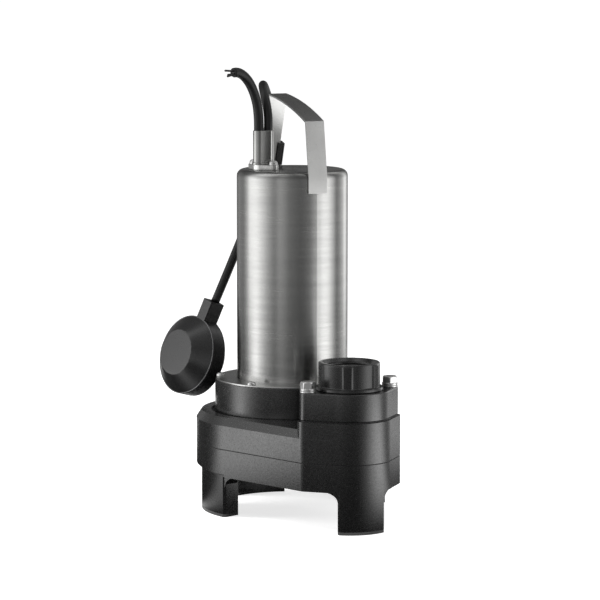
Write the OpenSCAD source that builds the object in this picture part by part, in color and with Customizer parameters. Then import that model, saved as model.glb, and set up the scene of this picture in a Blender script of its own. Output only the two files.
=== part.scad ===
/* [Motor housing] */
// Outside diameter of the motor housing
motor_d = 115; // [110:1:120]
// Height of the motor housing above its flange
motor_h = 217; // [208:1:240]
// Sheet thickness of the motor housing
motor_wall = 1.5; // [1:0.1:2.5]
// Rounding of the housing's top edge
motor_edge_r = 7; // [4:0.5:9]
// Diameter of the flange under the housing
flange_d = 159; // [157:1:164]
// Sheet thickness of that flange
flange_t = 1.8; // [1.2:0.1:3]
// Screws that hold the flange down
flange_screw_count = 6; // [4:1:8]
// Thread diameter of the flange screws
flange_screw_d = 5; // [4:0.5:6]

/* [Seal chamber] */
// How far the seal chamber stands out past the flange
chamber_step = 1; // [0:0.5:3]
// Height of the seal chamber above its seat
chamber_h = 37.5; // [37:0.5:45]
// Inside diameter of the oil space
oil_d = 112; // [100:1:120]
// Metal between the seal chamber's spigot and the flange screws
spigot_land = 4.5; // [3:0.5:8]

/* [Pump casing] */
// Radius of the casing round the shaft
casing_r = 100; // [97:0.5:101]
// Wall of the casing at the seam
casing_wall = 13; // [11:0.5:14]
// Height of the volute casing from the seam to its deck
casing_h = 33; // [30:0.5:38]
// Height of the base casing without its legs
base_h = 28; // [25:0.5:34]
// Height of the legs
leg_h = 42; // [36:1:50]
// Wall of the legs
leg_wall = 13; // [10:0.5:14]
// Width across the bevel on the deck's edge
rim_bevel = 5.5; // [3:0.5:7]
// Diameter of the suction mouth
suction_d = 60; // [50:1:66]

/* [Discharge] */
// Distance from the shaft to the discharge
discharge_x = 136; // [133:1:142]
// Sideways shift of the discharge
discharge_y = -3; // [-8:0.5:4]
// Radius of the tower under the discharge block
tower_r = 43.4; // [42:0.2:46]
// Height of the tower above the seam
tower_h = 41.9; // [42:0.2:50]
// Distance between the two discharge bolts
bolt_pitch = 92; // [92:0.2:97]
// Thread diameter of the discharge bolts
bolt_d = 8; // [6:1:10]
// Height of the discharge block
block_h = 27.9; // [22:0.2:32]
// Outside diameter of the threaded stub
stub_d = 62; // [58:0.2:64]
// Height of the threaded stub above the block
stub_h = 28.2; // [24:0.2:34]
// Bore of the stub, the core diameter of its thread
stub_bore_d = 44.8; // [40:0.2:46]

/* [Handle] */
// Width of the handle strap
strap_w = 21; // [18:0.5:24]
// Thickness of the handle strap
strap_t = 2; // [1.5:0.1:3]
// Height of the grip's far end above the housing
grip_h = 75; // [70:1:85]

/* [Shaft] */
// Diameter of the shaft at the impeller and lower bearing
shaft_d = 17; // [15:1:18]
// Diameter of the impeller
impeller_d = 124; // [110:1:128]
// Number of impeller vanes
vane_count = 8; // [5:1:9]
// Height of the room for the wiring, over the upper bracket
wiring_h = 46; // [40:1:60]
// Air gap between rotor and stator
air_gap = 0.4; // [0.3:0.1:0.8]

/* [Cables] */
// Diameter of the power cable
power_cable_d = 10; // [8:0.1:10.4]
// Diameter of the float's cable
cable_d = 9; // [8:0.1:9.4]
// Outside width of the cable sleeve
sleeve_w = 11.8; // [11:0.1:12]
// Height of the cable sleeve
sleeve_h = 35; // [28:0.5:40]

/* [Float switch] */
// Diameter of the float
float_d = 84; // [76:1:86]
// Width of the band round the float
float_band = 18; // [14:1:22]
// Thickness of the whole float
float_t = 48.4; // [40:0.4:52]
// Diameter of the float's flat faces
float_face_d = 50; // [40:1:54]
// Wall of the float's shells
float_wall = 3; // [2:0.5:4]

/* [Hidden] */

$fn = 96;
fit = 0.1;
running = 0.05;
gasket_t = 1;
gasket_inset = 1;
eps = 0.5;
side_inset = 0.1;

// Levels above the floor
seam_z = leg_h + base_h;
base_floor_t = 8;
cavity_z = leg_h + base_floor_t;
deck_z = seam_z + casing_h;
seat_depth = 6;
seat_z = deck_z - seat_depth;
seat_t = 11;
cavity_top_z = seat_z - seat_t;
tower_z = seam_z + tower_h;
block_z = tower_z + gasket_t;
block_top_z = block_z + block_h;
stub_top_z = block_top_z + stub_h;
flange_z = seat_z + chamber_h;
housing_z = flange_z + flange_t;
top_z = housing_z + motor_h;

// Plan of the casing, one circle for each round corner
lobe_r = 10.8;
bolt_y = [discharge_y - bolt_pitch / 2, discharge_y + bolt_pitch / 2];
shaft_round = [0, 0, casing_r];
near_lobe = [discharge_x, bolt_y[0], lobe_r];
tower_round = [discharge_x, discharge_y, tower_r];
far_lobe = [discharge_x, bolt_y[1], lobe_r];
casing_plan = [shaft_round, near_lobe, tower_round, far_lobe];
tower_plan = [near_lobe, tower_round, far_lobe];
block_inset = 2.4;
passage_d = stub_bore_d - 5;
thread_depth = 26;

// Pieces round the shaft
cavity_r = casing_r - casing_wall;
rim_bevel_h = 8;
seat_gap = 4;
spigot_h = 6;
o_ring_d = 3;
chamber_floor_t = 10;
oil_top_t = 20.5;
bearing_d = 40;
bearing_h = 12;
bearing_z = flange_z - bearing_h;
bearing_shoulder_t = 1.5;
lip_d = 30;
lip_h = 7;
lip_z = bearing_z - bearing_shoulder_t - lip_h;
seal_d = 34;
seal_z = seat_z - spigot_h;
journal_d = shaft_d - 2;
upper_bearing_d = 35;
upper_bearing_h = 11;
stator_lift = 40;
stator_z = housing_z + stator_lift;
winding_h = 20;
winding_gap = 10;
bracket_t = 16;
bracket_hole_r = 44;
bracket_hole_d = 8;
bracket_z = top_z - wiring_h - bracket_t;
stator_h = bracket_z - winding_gap - winding_h - stator_z;
capacitor_l = 52;
capacitor_d = wiring_h - 16;
bracket_top_z = bracket_z + bracket_t;
rotor_d = 60;
stator_bore_d = rotor_d + 2 * air_gap;
impeller_z = cavity_top_z - 20;
impeller_h = 18;
impeller_web_t = 4;
hub_d = 30;
nut_h = 7;
thread_d = 10;
shaft_end_z = impeller_z - 10;

// Screws
flange_screw_pcd = flange_d - 9;
chamber_d = flange_d + 2 * chamber_step;
spigot_d = flange_screw_pcd - flange_screw_d - 2 * spigot_land;
flange_screw_turn = 0;
casing_screw_d = 5;
casing_screw_r = casing_r - 4.5 - casing_screw_d;
casing_screw_angles = [52, 142, -142, -52];
washer_d = 2 * bolt_d;
washer_t = 4.4;
bolt_l = 50;
bolt_depth = 24;
casing_screw_depth = 20;

// Legs, as [start, end] angles round the shaft or the discharge
side_leg = [71, 124];
rear_leg = [160, 200];
front_leg = [-43, 30];
arch_w = 15;
arch_h = 9;
side_leg_wall = 18;
leg_chamfer = 2.6;
waist_z = leg_h + 5.5;
waist_r = casing_r - 3;
waist_shift = 5.6;
waist_end_x = 33;

// Handle
strap_x = motor_d / 2 + fit + strap_t / 2;
strap_foot_z = top_z - 21.5;
strap_bend_z = top_z - 2;
grip_front = [51.5, top_z + grip_h - 23.8];
grip_rear = [-34.7, top_z + grip_h];
grip_rise = 3.4;

// Cable gland
gland_x = 0;
gland_y = -33;
gland_turn = 24;
gland_t = 5.4;
gland_lobe_r = 5.6;
gland_foot_r = 12;
gland_screw_pitch = 26.2;
gland_screw_d = 5;
sleeve_pitch = 10.6;
sleeve_wall = 0.8;
core_d = 2.2;
gland_z = top_z + fit;
sleeve_z = gland_z + gland_t;
sleeve_top_z = sleeve_z + sleeve_h;
grommet_z = sleeve_top_z - 2;

// Cable clip on the handle's rear leg
rear_run = [-strap_x - grip_rear.x, strap_bend_z - grip_rear.y];
clip_lean = atan2(-rear_run.x, -rear_run.y);
clip_along = 66;
clip_l = 25;
clip_reach = 10;
clip_y = 6.2;
clip_edge = strap_w / 2 - clip_y;
clip_side = 6.8;
clip_grip = 3;
clip_wall = 2;
clip_play = 0.4;

// Float
float_pos = [-102, -68.2, 149.4];
float_turn = [-16, -15.2, -73.8];
float_neck_l = 20.8;
switch_w = 28;
switch_h = 24;
ball_d = 16;
ball_run = 24;
float_neck_w = 13.5;
float_neck_t = 18.5;
float_reach_x = float_d / 2 * sqrt(1 - pow(cos(float_turn.y) * cos(float_turn.z), 2))
    + float_band / 2 * cos(float_turn.y) * cos(float_turn.z);

// The frame stands at the middle of the object's length
frame_x = -(discharge_x + tower_r + float_pos.x - float_reach_x) / 2;

// Routes of the cables, round numbers from the gland outwards
power_route = [[0, -38.3, 392], [0, -38.3, 403], [0.1, -39.2, 414.9], [0.4, -41.5, 425.9],
    [1.1, -46, 437.2], [2.3, -52.1, 446.3], [4.1, -59.3, 452.2], [6.2, -66, 454.4],
    [7.8, -70.6, 453.9]];
core_routes = [[[7.2, -69, 455.6], [10.6, -81.2, 456.5]], [[8.7, -69.3, 452.4], [9.8, -77.8, 452.2]],
    [[6.4, -69.2, 452.2], [7.4, -77.2, 450.4]]];
loop_route = [[0, -27.7, 392], [0.1, -27.5, 400], [-0.1, -27.5, 408.4], [-2.2, -28, 418.6],
    [-7.2, -27.8, 427.8], [-15.2, -25.8, 434.7], [-24.6, -22, 438.4], [-35, -16.6, 439],
    [-44.9, -10.6, 436.8], [-52.3, -5, 431.4], [-56.6, 0, 422.8], [-57.9, 3.6, 411.5],
    [-57.6, 5.6, 399], [-58.9, 6.2, 386], [-63.3, 6.2, 370], [-66.4, 6.2, 359.8],
    [-69.3, 6.2, 350]];
swing_point = [-70.8, 6.2, 345];
drop_route = [swing_point, [-73.6, 1.5, 331], [-77.5, -9, 303.5], [-81.4, -19.5, 276],
    [-85.1, -30.4, 248], [-87.5, -39.2, 226.5], [-89.6, -47.2, 207.3]];

function dir(a) = [cos(a), sin(a)];

// The two ends of the line that touches circles a and b on the right of the way from a to b
function tangent_ends(a, b) =
    let (d = [b.x - a.x, b.y - a.y], n = atan2(d.y, d.x) - acos((a[2] - b[2]) / norm(d)))
    [[a.x, a.y] + a[2] * dir(n), [b.x, b.y] + b[2] * dir(n)];

function inset_rounds(rounds, inset) = [for (c = rounds) [c.x, c.y, c[2] - inset]];

// A path's points moved sideways by d, with mitred corners
function unit(v) = v / norm(v);
function left_of(v) = [-v.y, v.x];
function shifted_path(pts, d) = [for (i = [0:len(pts) - 1])
    let (before = unit(pts[max(i, 1)] - pts[max(i, 1) - 1]),
         after = unit(pts[min(i, len(pts) - 2) + 1] - pts[min(i, len(pts) - 2)]),
         n = unit(left_of(before) + left_of(after)))
    pts[i] + n * d / (n * left_of(before))];
function reversed(pts) = [for (i = [len(pts) - 1:-1:0]) pts[i]];

// The points of an arc between two ends that rises by h over its chord
function arc_between(a, b, h, steps) =
    let (chord = norm(b - a), r = chord * chord / (8 * h) + h / 2,
         up = left_of(unit(a - b)), mid = (a + b) / 2 - up * (r - h),
         a0 = atan2(a.y - mid.y, a.x - mid.x), a1 = atan2(b.y - mid.y, b.x - mid.x))
    [for (i = [0:steps]) mid + r * dir(a0 + (a1 - a0) * i / steps)];

// A smooth curve through a route's points
function spline(p0, p1, p2, p3, t) = 0.5 * (2 * p1 + (p2 - p0) * t
    + (2 * p0 - 5 * p1 + 4 * p2 - p3) * t * t + (3 * p1 - p0 - 3 * p2 + p3) * t * t * t);
function smooth(pts, steps) = concat([for (i = [0:len(pts) - 2], j = [0:steps - 1])
    spline(pts[max(i - 1, 0)], pts[i], pts[i + 1], pts[min(i + 2, len(pts) - 1)], j / steps)],
    [pts[len(pts) - 1]]);

// The outline that goes round all the given circles, listed anticlockwise. Its straight sides lie
// a hair inside the circles, so that they cross them and don't only touch them.
module around(rounds, inset = 0) {
    for (c = inset_rounds(rounds, inset)) translate([c.x, c.y]) circle(r = c[2]);
    cs = inset_rounds(rounds, inset + side_inset);
    n = len(cs);
    polygon([for (i = [0:n - 1]) each tangent_ends(cs[i], cs[(i + 1) % n])]);
}

// A slot outline with its length along Y
module slot_2d(pitch, w) {
    for (s = [-1, 1]) translate([0, s * pitch / 2]) circle(d = w);
    translate([-w / 2, -pitch / 2]) square([w, pitch]);
}

module tube(d, bore, h) {
    difference() {
        cylinder(d = d, h = h);
        translate([0, 0, -eps]) cylinder(d = bore, h = h + 2 * eps);
    }
}

module torus(d, cord) {
    rotate_extrude() translate([d / 2, 0]) circle(d = cord, $fn = 24);
}

// A tube swept along a route, with its own diameter at each point
module swept(pts, ds, sides) {
    n = len(pts);
    along = [for (i = [0:n - 1]) unit(pts[min(i + 1, n - 1)] - pts[max(i - 1, 0)])];
    side = [for (t = along) unit(cross(t, [0.31, -0.87, 0.1]))];
    rings = [for (i = [0:n - 1], k = [0:sides - 1])
        let (a = 360 * k / sides)
        pts[i] + ds[i] / 2 * (side[i] * cos(a) + cross(along[i], side[i]) * sin(a))];
    walls = [for (i = [0:n - 2], k = [0:sides - 1])
        [i * sides + k, i * sides + (k + 1) % sides,
         (i + 1) * sides + (k + 1) % sides, (i + 1) * sides + k]];
    polyhedron(rings, concat([reversed([for (k = [0:sides - 1]) k])], walls,
        [[for (k = [0:sides - 1]) (n - 1) * sides + k]]));
}

module in_frame() {
    translate([frame_x, 0, 0]) children();
}

module at_discharge(z) {
    translate([discharge_x, discharge_y, z]) children();
}

module at_bolts(z) {
    for (y = bolt_y) translate([discharge_x, y, z]) children();
}

module at_flange_screws(z) {
    for (i = [0:flange_screw_count - 1])
        rotate(flange_screw_turn + 360 * i / flange_screw_count)
            translate([flange_screw_pcd / 2, 0, z]) children();
}

module at_casing_screws(z) {
    for (a = casing_screw_angles) rotate(a) translate([casing_screw_r, 0, z]) children();
    at_bolts(z) children();
}

module at_gland(z) {
    translate([gland_x, gland_y, z]) children();
}

module at_gland_screws(z) {
    at_gland(z) for (s = [-1, 1]) rotate(gland_turn) translate([s * gland_screw_pitch / 2, 0, 0])
        children();
}

// The clip's own frame: X out from the strap's middle, Z up along the strap
module at_clip() {
    translate([grip_rear.x, clip_y, grip_rear.y]) rotate([0, clip_lean, 0])
        mirror([1, 0, 0]) translate([0, 0, -clip_along]) children();
}

module at_float() {
    translate(float_pos) rotate(float_turn) children();
}

module hex_head(across, h) {
    cylinder(d = across / cos(30), h = h, $fn = 6);
}

module dome_head(d, h) {
    cylinder(d = d, h = h * 0.4);
    translate([0, 0, h * 0.4]) rotate_extrude() intersection() {
        scale([1, 1]) translate([0, h * 0.6 - d * d / (8 * h * 0.6) - h * 0.3])
            circle(r = d * d / (8 * h * 0.6) + h * 0.3);
        square([d / 2, h * 0.6]);
    }
}

module motor_housing() in_frame() color([0.78, 0.78, 0.77]) {
    r = motor_d / 2;
    difference() {
        translate([0, 0, flange_z]) rotate_extrude() difference() {
            union() {
                square([r, flange_t + motor_h - motor_edge_r]);
                square([r - motor_edge_r, flange_t + motor_h]);
                translate([r - motor_edge_r, flange_t + motor_h - motor_edge_r])
                    circle(r = motor_edge_r);
            }
            square([r - motor_wall, flange_t + motor_h - motor_edge_r]);
            square([r - motor_edge_r, flange_t + motor_h - motor_wall]);
            translate([r - motor_edge_r, flange_t + motor_h - motor_edge_r])
                circle(r = motor_edge_r - motor_wall);
        }
        at_gland(top_z - 4) linear_extrude(8) slot_2d(sleeve_pitch, sleeve_w - 2 * sleeve_wall);
        at_gland_screws(top_z - 4) cylinder(d = gland_screw_d + 0.5, h = 8);
    }
}

module housing_flange() in_frame() color([0.74, 0.74, 0.73]) {
    difference() {
        translate([0, 0, flange_z]) tube(flange_d, motor_d + 2 * fit, flange_t);
        at_flange_screws(flange_z - eps) cylinder(d = flange_screw_d + 0.5, h = flange_t + 2 * eps);
    }
}

module flange_screws() in_frame() color([0.8, 0.8, 0.79]) {
    at_flange_screws(housing_z) {
        dome_head(flange_screw_d * 1.7, flange_screw_d * 0.6);
        translate([0, 0, -chamber_h - flange_t - seat_t + 2])
            cylinder(d = flange_screw_d - 0.2, h = chamber_h + flange_t + seat_t - 2);
    }
}

module carry_handle() in_frame() color([0.76, 0.76, 0.75]) {
    path = concat([[strap_x, strap_foot_z], [strap_x, strap_bend_z]],
        arc_between(grip_front, grip_rear, grip_rise, 10),
        [[-strap_x, strap_bend_z], [-strap_x, strap_foot_z]]);
    rotate([90, 0, 0]) linear_extrude(strap_w, center = true)
        polygon(concat(shifted_path(path, strap_t / 2), reversed(shifted_path(path, -strap_t / 2))));
}

// The oval of the gland's flange, round its foot and its two screws
module gland_plan() {
    lobes = [for (s = [1, -1]) concat(s * gland_screw_pitch / 2 * dir(gland_turn), [gland_lobe_r])];
    foot = [0, 0, gland_foot_r];
    around([lobes[0], foot, lobes[1], foot]);
}

module gland_flange() in_frame() color([0.72, 0.72, 0.71]) {
    difference() {
        at_gland(gland_z) linear_extrude(gland_t) gland_plan();
        at_gland(gland_z - eps) linear_extrude(gland_t + 2 * eps)
            slot_2d(sleeve_pitch, sleeve_w - 2 * sleeve_wall);
        at_gland_screws(gland_z - eps) cylinder(d = gland_screw_d + 0.5, h = gland_t + 2 * eps);
    }
}

module gland_sleeve() in_frame() color([0.66, 0.66, 0.65]) {
    at_gland(sleeve_z) difference() {
        union() {
            linear_extrude(sleeve_h) slot_2d(sleeve_pitch, sleeve_w);
            linear_extrude(2.2) slot_2d(sleeve_pitch, sleeve_w + 2);
        }
        translate([0, 0, -eps]) linear_extrude(sleeve_h + 2 * eps)
            slot_2d(sleeve_pitch, sleeve_w - 2 * sleeve_wall);
    }
}

module gland_grommet() in_frame() color([0.1, 0.1, 0.1]) {
    at_gland(top_z - motor_wall - 4) linear_extrude(grommet_z - top_z + motor_wall + 4)
        slot_2d(sleeve_pitch, sleeve_w - 2 * sleeve_wall - 2 * fit);
}

module gland_screws() in_frame() color([0.82, 0.82, 0.81]) {
    at_gland_screws(sleeve_z) {
        dome_head(gland_screw_d * 1.7, gland_screw_d * 0.8);
        translate([0, 0, -gland_t - motor_wall - 5])
            cylinder(d = gland_screw_d - 0.2, h = gland_t + motor_wall + 5);
    }
}

module gland_backing_plate() in_frame() color([0.6, 0.6, 0.6]) {
    z = top_z - motor_wall - fit - 4;
    difference() {
        at_gland(z) linear_extrude(4) gland_plan();
        at_gland(z - eps) linear_extrude(4 + 2 * eps) slot_2d(sleeve_pitch, sleeve_w);
        at_gland_screws(z - eps) cylinder(d = gland_screw_d, h = 4 + 2 * eps);
    }
}

module capacitor() in_frame() color([0.85, 0.85, 0.83]) {
    translate([-28, 20, bracket_top_z + capacitor_d / 2 + fit]) rotate([0, 90, 0]) {
        cylinder(d = capacitor_d, h = capacitor_l);
        for (y = [-5, 5]) translate([0, y, capacitor_l]) cylinder(d = 4, h = 5);
    }
}

module terminal_block() in_frame() color([0.9, 0.88, 0.8]) {
    difference() {
        translate([-17, -32, bracket_top_z]) cube([34, 16, 12]);
        for (x = [-11.5, 0, 11.5]) translate([x, -24, bracket_top_z + 4]) cylinder(d = 5, h = 20);
    }
}

module upper_bracket() in_frame() color([0.55, 0.55, 0.54]) {
    translate([0, 0, bracket_z]) difference() {
        cylinder(d = motor_d - 2 * motor_wall - 2 * fit, h = bracket_t);
        translate([0, 0, -eps]) cylinder(d = upper_bearing_d, h = upper_bearing_h + eps);
        translate([0, 0, -eps]) cylinder(d = journal_d + 4, h = bracket_t - 2 + eps);
        translate([0, 0, -eps]) difference() {
            cylinder(d = motor_d - 2 * motor_wall - 12, h = bracket_t - 5);
            translate([0, 0, -eps]) cylinder(d = upper_bearing_d + 12, h = bracket_t);
        }
        for (a = [45:90:315]) rotate(a) translate([bracket_hole_r, 0, -eps])
            cylinder(d = bracket_hole_d, h = bracket_t + 2 * eps);
    }
}

// A ball bearing as one closed unit with its grooves on both faces
module bearing(d, bore, h) {
    mid = (d + bore) / 2;
    band = (d - bore) * 0.18;
    difference() {
        tube(d - 2 * fit, bore + 2 * running, h);
        for (z = [-eps, h - 0.8]) translate([0, 0, z]) tube(mid + band, mid - band, 0.8 + eps);
    }
}

module upper_bearing() in_frame() color([0.7, 0.7, 0.7]) {
    translate([0, 0, bracket_z]) bearing(upper_bearing_d, journal_d, upper_bearing_h);
}

module stator_core() in_frame() color([0.35, 0.35, 0.36]) {
    translate([0, 0, stator_z]) difference() {
        cylinder(d = motor_d - 2 * motor_wall - 2 * fit, h = stator_h);
        translate([0, 0, -eps]) cylinder(d = stator_bore_d, h = stator_h + 2 * eps);
        for (i = [0:23]) rotate(i * 15) translate([stator_bore_d / 2 + 2, -1.6, -eps])
            cube([13, 3.2, stator_h + 2 * eps]);
    }
}

module stator_windings() in_frame() color([0.72, 0.38, 0.16]) {
    for (z = [stator_z - winding_h, stator_z + stator_h]) translate([0, 0, z]) rotate_extrude() {
        translate([stator_bore_d / 2 + 3, 3]) square([14, winding_h - 6]);
        translate([stator_bore_d / 2 + 6, 0]) square([8, winding_h]);
        for (x = [6, 14], y = [3, winding_h - 3]) translate([stator_bore_d / 2 + x, y])
            circle(r = 3, $fn = 24);
    }
}

module rotor_core() in_frame() color([0.45, 0.45, 0.46]) {
    translate([0, 0, stator_z - 8]) difference() {
        union() {
            translate([0, 0, 8]) cylinder(d = rotor_d, h = stator_h);
            cylinder(d = rotor_d - 6, h = stator_h + 16);
        }
        translate([0, 0, -eps]) cylinder(d = shaft_d + 2 * fit, h = stator_h + 16 + 2 * eps);
    }
}

module shaft() in_frame() color([0.7, 0.7, 0.7]) {
    translate([0, 0, shaft_end_z]) cylinder(d = thread_d, h = 12);
    difference() {
        translate([0, 0, impeller_z]) cylinder(d = shaft_d, h = bracket_z - 3 - impeller_z);
        translate([shaft_d / 2 - 2.5, -2.5, impeller_z + 2]) cube([6, 5, 14]);
    }
    translate([0, 0, bracket_z - 3]) cylinder(d = journal_d, h = upper_bearing_h + 4);
}

module lower_bearing() in_frame() color([0.7, 0.7, 0.7]) {
    translate([0, 0, bearing_z]) bearing(bearing_d, shaft_d, bearing_h);
}

module seal_chamber() in_frame() color([0.17, 0.17, 0.17]) {
    difference() {
        union() {
            translate([0, 0, seat_z]) cylinder(d = chamber_d, h = chamber_h);
            translate([0, 0, seal_z]) cylinder(d = spigot_d, h = spigot_h + eps);
        }
        translate([0, 0, seal_z - eps]) cylinder(d = seal_d, h = chamber_floor_t + 2 * eps);
        translate([0, 0, seal_z + chamber_floor_t])
            cylinder(d = oil_d, h = flange_z - oil_top_t - seal_z - chamber_floor_t);
        translate([0, 0, lip_z - eps]) cylinder(d = lip_d, h = lip_h + eps);
        translate([0, 0, lip_z]) cylinder(d = lip_d - 6, h = lip_h + 4);
        translate([0, 0, bearing_z]) cylinder(d = bearing_d, h = bearing_h + eps);
        translate([0, 0, seal_z + spigot_h / 2]) tube(spigot_d + 4, spigot_d - 2 * o_ring_d + 0.4, o_ring_d + 0.4);
        translate([0, 0, flange_z - o_ring_d + 0.4])
            tube(motor_d + 12, motor_d + 12 - 2 * o_ring_d - 0.8, o_ring_d);
        at_flange_screws(seat_z - eps) cylinder(d = flange_screw_d + 0.4, h = chamber_h + 2 * eps);
    }
}

module housing_o_ring() in_frame() color([0.08, 0.08, 0.08]) {
    translate([0, 0, flange_z - o_ring_d / 2 + 0.2]) torus(motor_d + 12 - o_ring_d - 0.4, o_ring_d - 0.4);
}

module chamber_o_ring() in_frame() color([0.08, 0.08, 0.08]) {
    translate([0, 0, seal_z + spigot_h / 2 + o_ring_d / 2 + 0.2])
        torus(spigot_d - o_ring_d + 0.2, o_ring_d - 0.2);
}

module lip_seal() in_frame() color([0.12, 0.1, 0.1]) {
    translate([0, 0, lip_z + fit]) rotate_extrude() difference() {
        translate([shaft_d / 2 + running, 0]) square([(lip_d - shaft_d) / 2 - running - fit, lip_h - 2 * fit]);
        translate([shaft_d / 2 + 2, -eps]) square([2, lip_h - 3]);
    }
}

module seal_seat() in_frame() color([0.85, 0.83, 0.78]) {
    translate([0, 0, seal_z + 1]) tube(seal_d - 2 * fit, shaft_d + 1, chamber_floor_t - 1);
}

module seal_face() in_frame() color([0.15, 0.15, 0.16]) {
    translate([0, 0, seal_z + chamber_floor_t + fit]) difference() {
        union() {
            cylinder(d = seal_d - 8, h = 2);
            translate([0, 0, 2]) cylinder(d = seal_d - 4, h = 3);
        }
        translate([0, 0, -eps]) cylinder(d = shaft_d + 2 * fit, h = 5 + 2 * eps);
    }
}

module seal_spring() in_frame() color([0.6, 0.6, 0.6]) {
    z = seal_z + chamber_floor_t + 5 + 2 * fit;
    translate([0, 0, z]) rotate_extrude() difference() {
        translate([shaft_d / 2 + fit, 0]) square([3.5, lip_z - z - fit]);
        for (i = [0:2]) translate([shaft_d / 2 + 4.6 + fit, 1.7 + 2.6 * i]) circle(r = 1.6, $fn = 24);
    }
}

// What fills the corner between a leg's end and the casing above it, in the plane across the leg.
// Its ends run into both of them, so that no edge of it lies in a face of theirs.
function arch_profile() = concat([[-2, leg_h + 1], [-2, leg_h - arch_h - 6]],
    [for (t = [165:-15:105]) [arch_w * (1 + cos(t)), leg_h - arch_h * (1 - sin(t))]],
    [[arch_w + 3, leg_h + 1]]);

module arch_corner(r_in, r_out) {
    translate([r_in + 1.2, 0, 0]) rotate([90, 0, 90]) linear_extrude(r_out - r_in + 8)
        polygon(arch_profile());
}

// A wedge from the centre between two angles, wider than radius r
module sector(a, r) {
    steps = ceil((a[1] - a[0]) / 30);
    polygon(concat([[0, 0]], [for (i = [0:steps]) 1.3 * r * dir(a[0] + (a[1] - a[0]) * i / steps)]));
}

// How far a circle that is moved along X reaches from the centre, in direction a
function reach(a, r, shift) = shift * cos(a) + sqrt(r * r - pow(shift * sin(a), 2));

// What is cut from the outer edge at a leg's end
module leg_edge() {
    polygon([[-leg_chamfer - 1, 1], [1, -leg_chamfer - 1], [leg_chamfer + 2, 2]]);
}

// A leg between two angles, its outer face drawn in by shift at the round end of the base
module leg(a, r_out, wall, shift = 0) {
    linear_extrude(leg_h + eps) difference() {
        intersection() {
            difference() {
                translate([shift, 0]) circle(r = r_out);
                circle(r = r_out - wall);
            }
            sector(a, r_out);
        }
        rotate(a[1]) translate([reach(a[1], r_out, shift), 0]) leg_edge();
        rotate(a[0]) translate([reach(a[0], r_out, shift), 0]) mirror([0, 1]) leg_edge();
    }
    intersection() {
        union() {
            rotate(a[1]) arch_corner(r_out - wall, r_out);
            rotate(a[0]) mirror([0, 1, 0]) arch_corner(r_out - wall, r_out);
        }
        translate([shift, 0, leg_h / 2]) cylinder(r = r_out - 1.2, h = leg_h);
    }
}

module volute_casing() in_frame() color([0.16, 0.16, 0.16]) {
    z0 = seam_z + gasket_t;
    difference() {
        union() {
            translate([0, 0, z0]) linear_extrude(deck_z - rim_bevel_h - z0) around(casing_plan);
            hull() for (c = casing_plan) translate([c.x, c.y, deck_z - rim_bevel_h])
                cylinder(r1 = c[2], r2 = c[2] - rim_bevel, h = rim_bevel_h);
            translate([0, 0, z0]) linear_extrude(tower_z - z0) around(tower_plan);
        }
        translate([0, 0, z0 - eps]) linear_extrude(cavity_top_z - z0 + eps) pump_cavity();
        translate([0, 0, seat_z]) cylinder(d = chamber_d + 2 * seat_gap, h = seat_depth + eps);
        translate([0, 0, cavity_top_z - eps]) cylinder(d = spigot_d + 0.6, h = seat_t + 2 * eps);
        at_discharge(z0 - eps) cylinder(d = passage_d, h = tower_z - z0 + 2 * eps);
        at_flange_screws(seat_z - seat_t + 1) cylinder(d = flange_screw_d, h = seat_t);
        at_casing_screws(z0 - eps) cylinder(d = casing_screw_d, h = casing_screw_depth);
        at_bolts(tower_z - bolt_depth) cylinder(d = bolt_d, h = bolt_depth + eps);
    }
}

// Plan of the water space, from the impeller to the discharge
module pump_cavity() {
    circle(r = cavity_r);
    translate([discharge_x, discharge_y]) circle(d = passage_d);
    translate([0, discharge_y - passage_d / 2 + 4]) square([discharge_x, passage_d - 8]);
}

module casing_gasket() in_frame() color([0.05, 0.05, 0.05]) {
    difference() {
        translate([0, 0, seam_z]) linear_extrude(gasket_t) difference() {
            around(casing_plan, gasket_inset);
            pump_cavity();
        }
        at_casing_screws(seam_z - eps) cylinder(d = casing_screw_d + 0.6, h = gasket_t + 2 * eps);
    }
}

module base_casing() in_frame() color([0.15, 0.15, 0.15]) {
    difference() {
        union() {
            translate([0, 0, leg_h]) linear_extrude(base_h) around(casing_plan);
            for (a = [side_leg, rear_leg, [-side_leg[1], -side_leg[0]]])
                leg(a, waist_r, side_leg_wall, waist_shift);
            at_discharge(0) leg(front_leg, tower_r, leg_wall);
        }
        translate([0, 0, cavity_z]) linear_extrude(seam_z) pump_cavity();
        translate([0, 0, leg_h - eps]) cylinder(d = suction_d, h = base_floor_t + 2 * eps);
        waist_cut();
        at_casing_screws(leg_h - eps) cylinder(d = casing_screw_d + 0.6, h = base_h + 2 * eps);
        at_casing_screws(leg_h - eps) cylinder(d = casing_screw_d * 1.8, h = casing_screw_d + eps);
    }
}

// What is cut away to draw in the round end of the base, down from its sloped edge
module waist_cut() {
    difference() {
        translate([waist_shift, 0, 0]) rotate_extrude() polygon([[waist_r, leg_h - 3],
            [casing_r + 12, leg_h - 3], [casing_r + 12, waist_z + 4],
            [waist_r + 10, waist_z + 4], [waist_r, waist_z - 4]]);
        translate([waist_end_x, -2 * casing_r, 0]) cube([3 * casing_r, 4 * casing_r, seam_z]);
    }
}

module casing_screws() in_frame() color([0.6, 0.6, 0.6]) {
    at_casing_screws(leg_h + 0.5) {
        difference() {
            cylinder(d = casing_screw_d * 1.6, h = casing_screw_d - 0.5);
            translate([0, 0, -eps]) cylinder(d = casing_screw_d * 0.9, h = 3.5, $fn = 6);
        }
        cylinder(d = casing_screw_d - 0.2, h = base_h + 14);
    }
}

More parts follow.
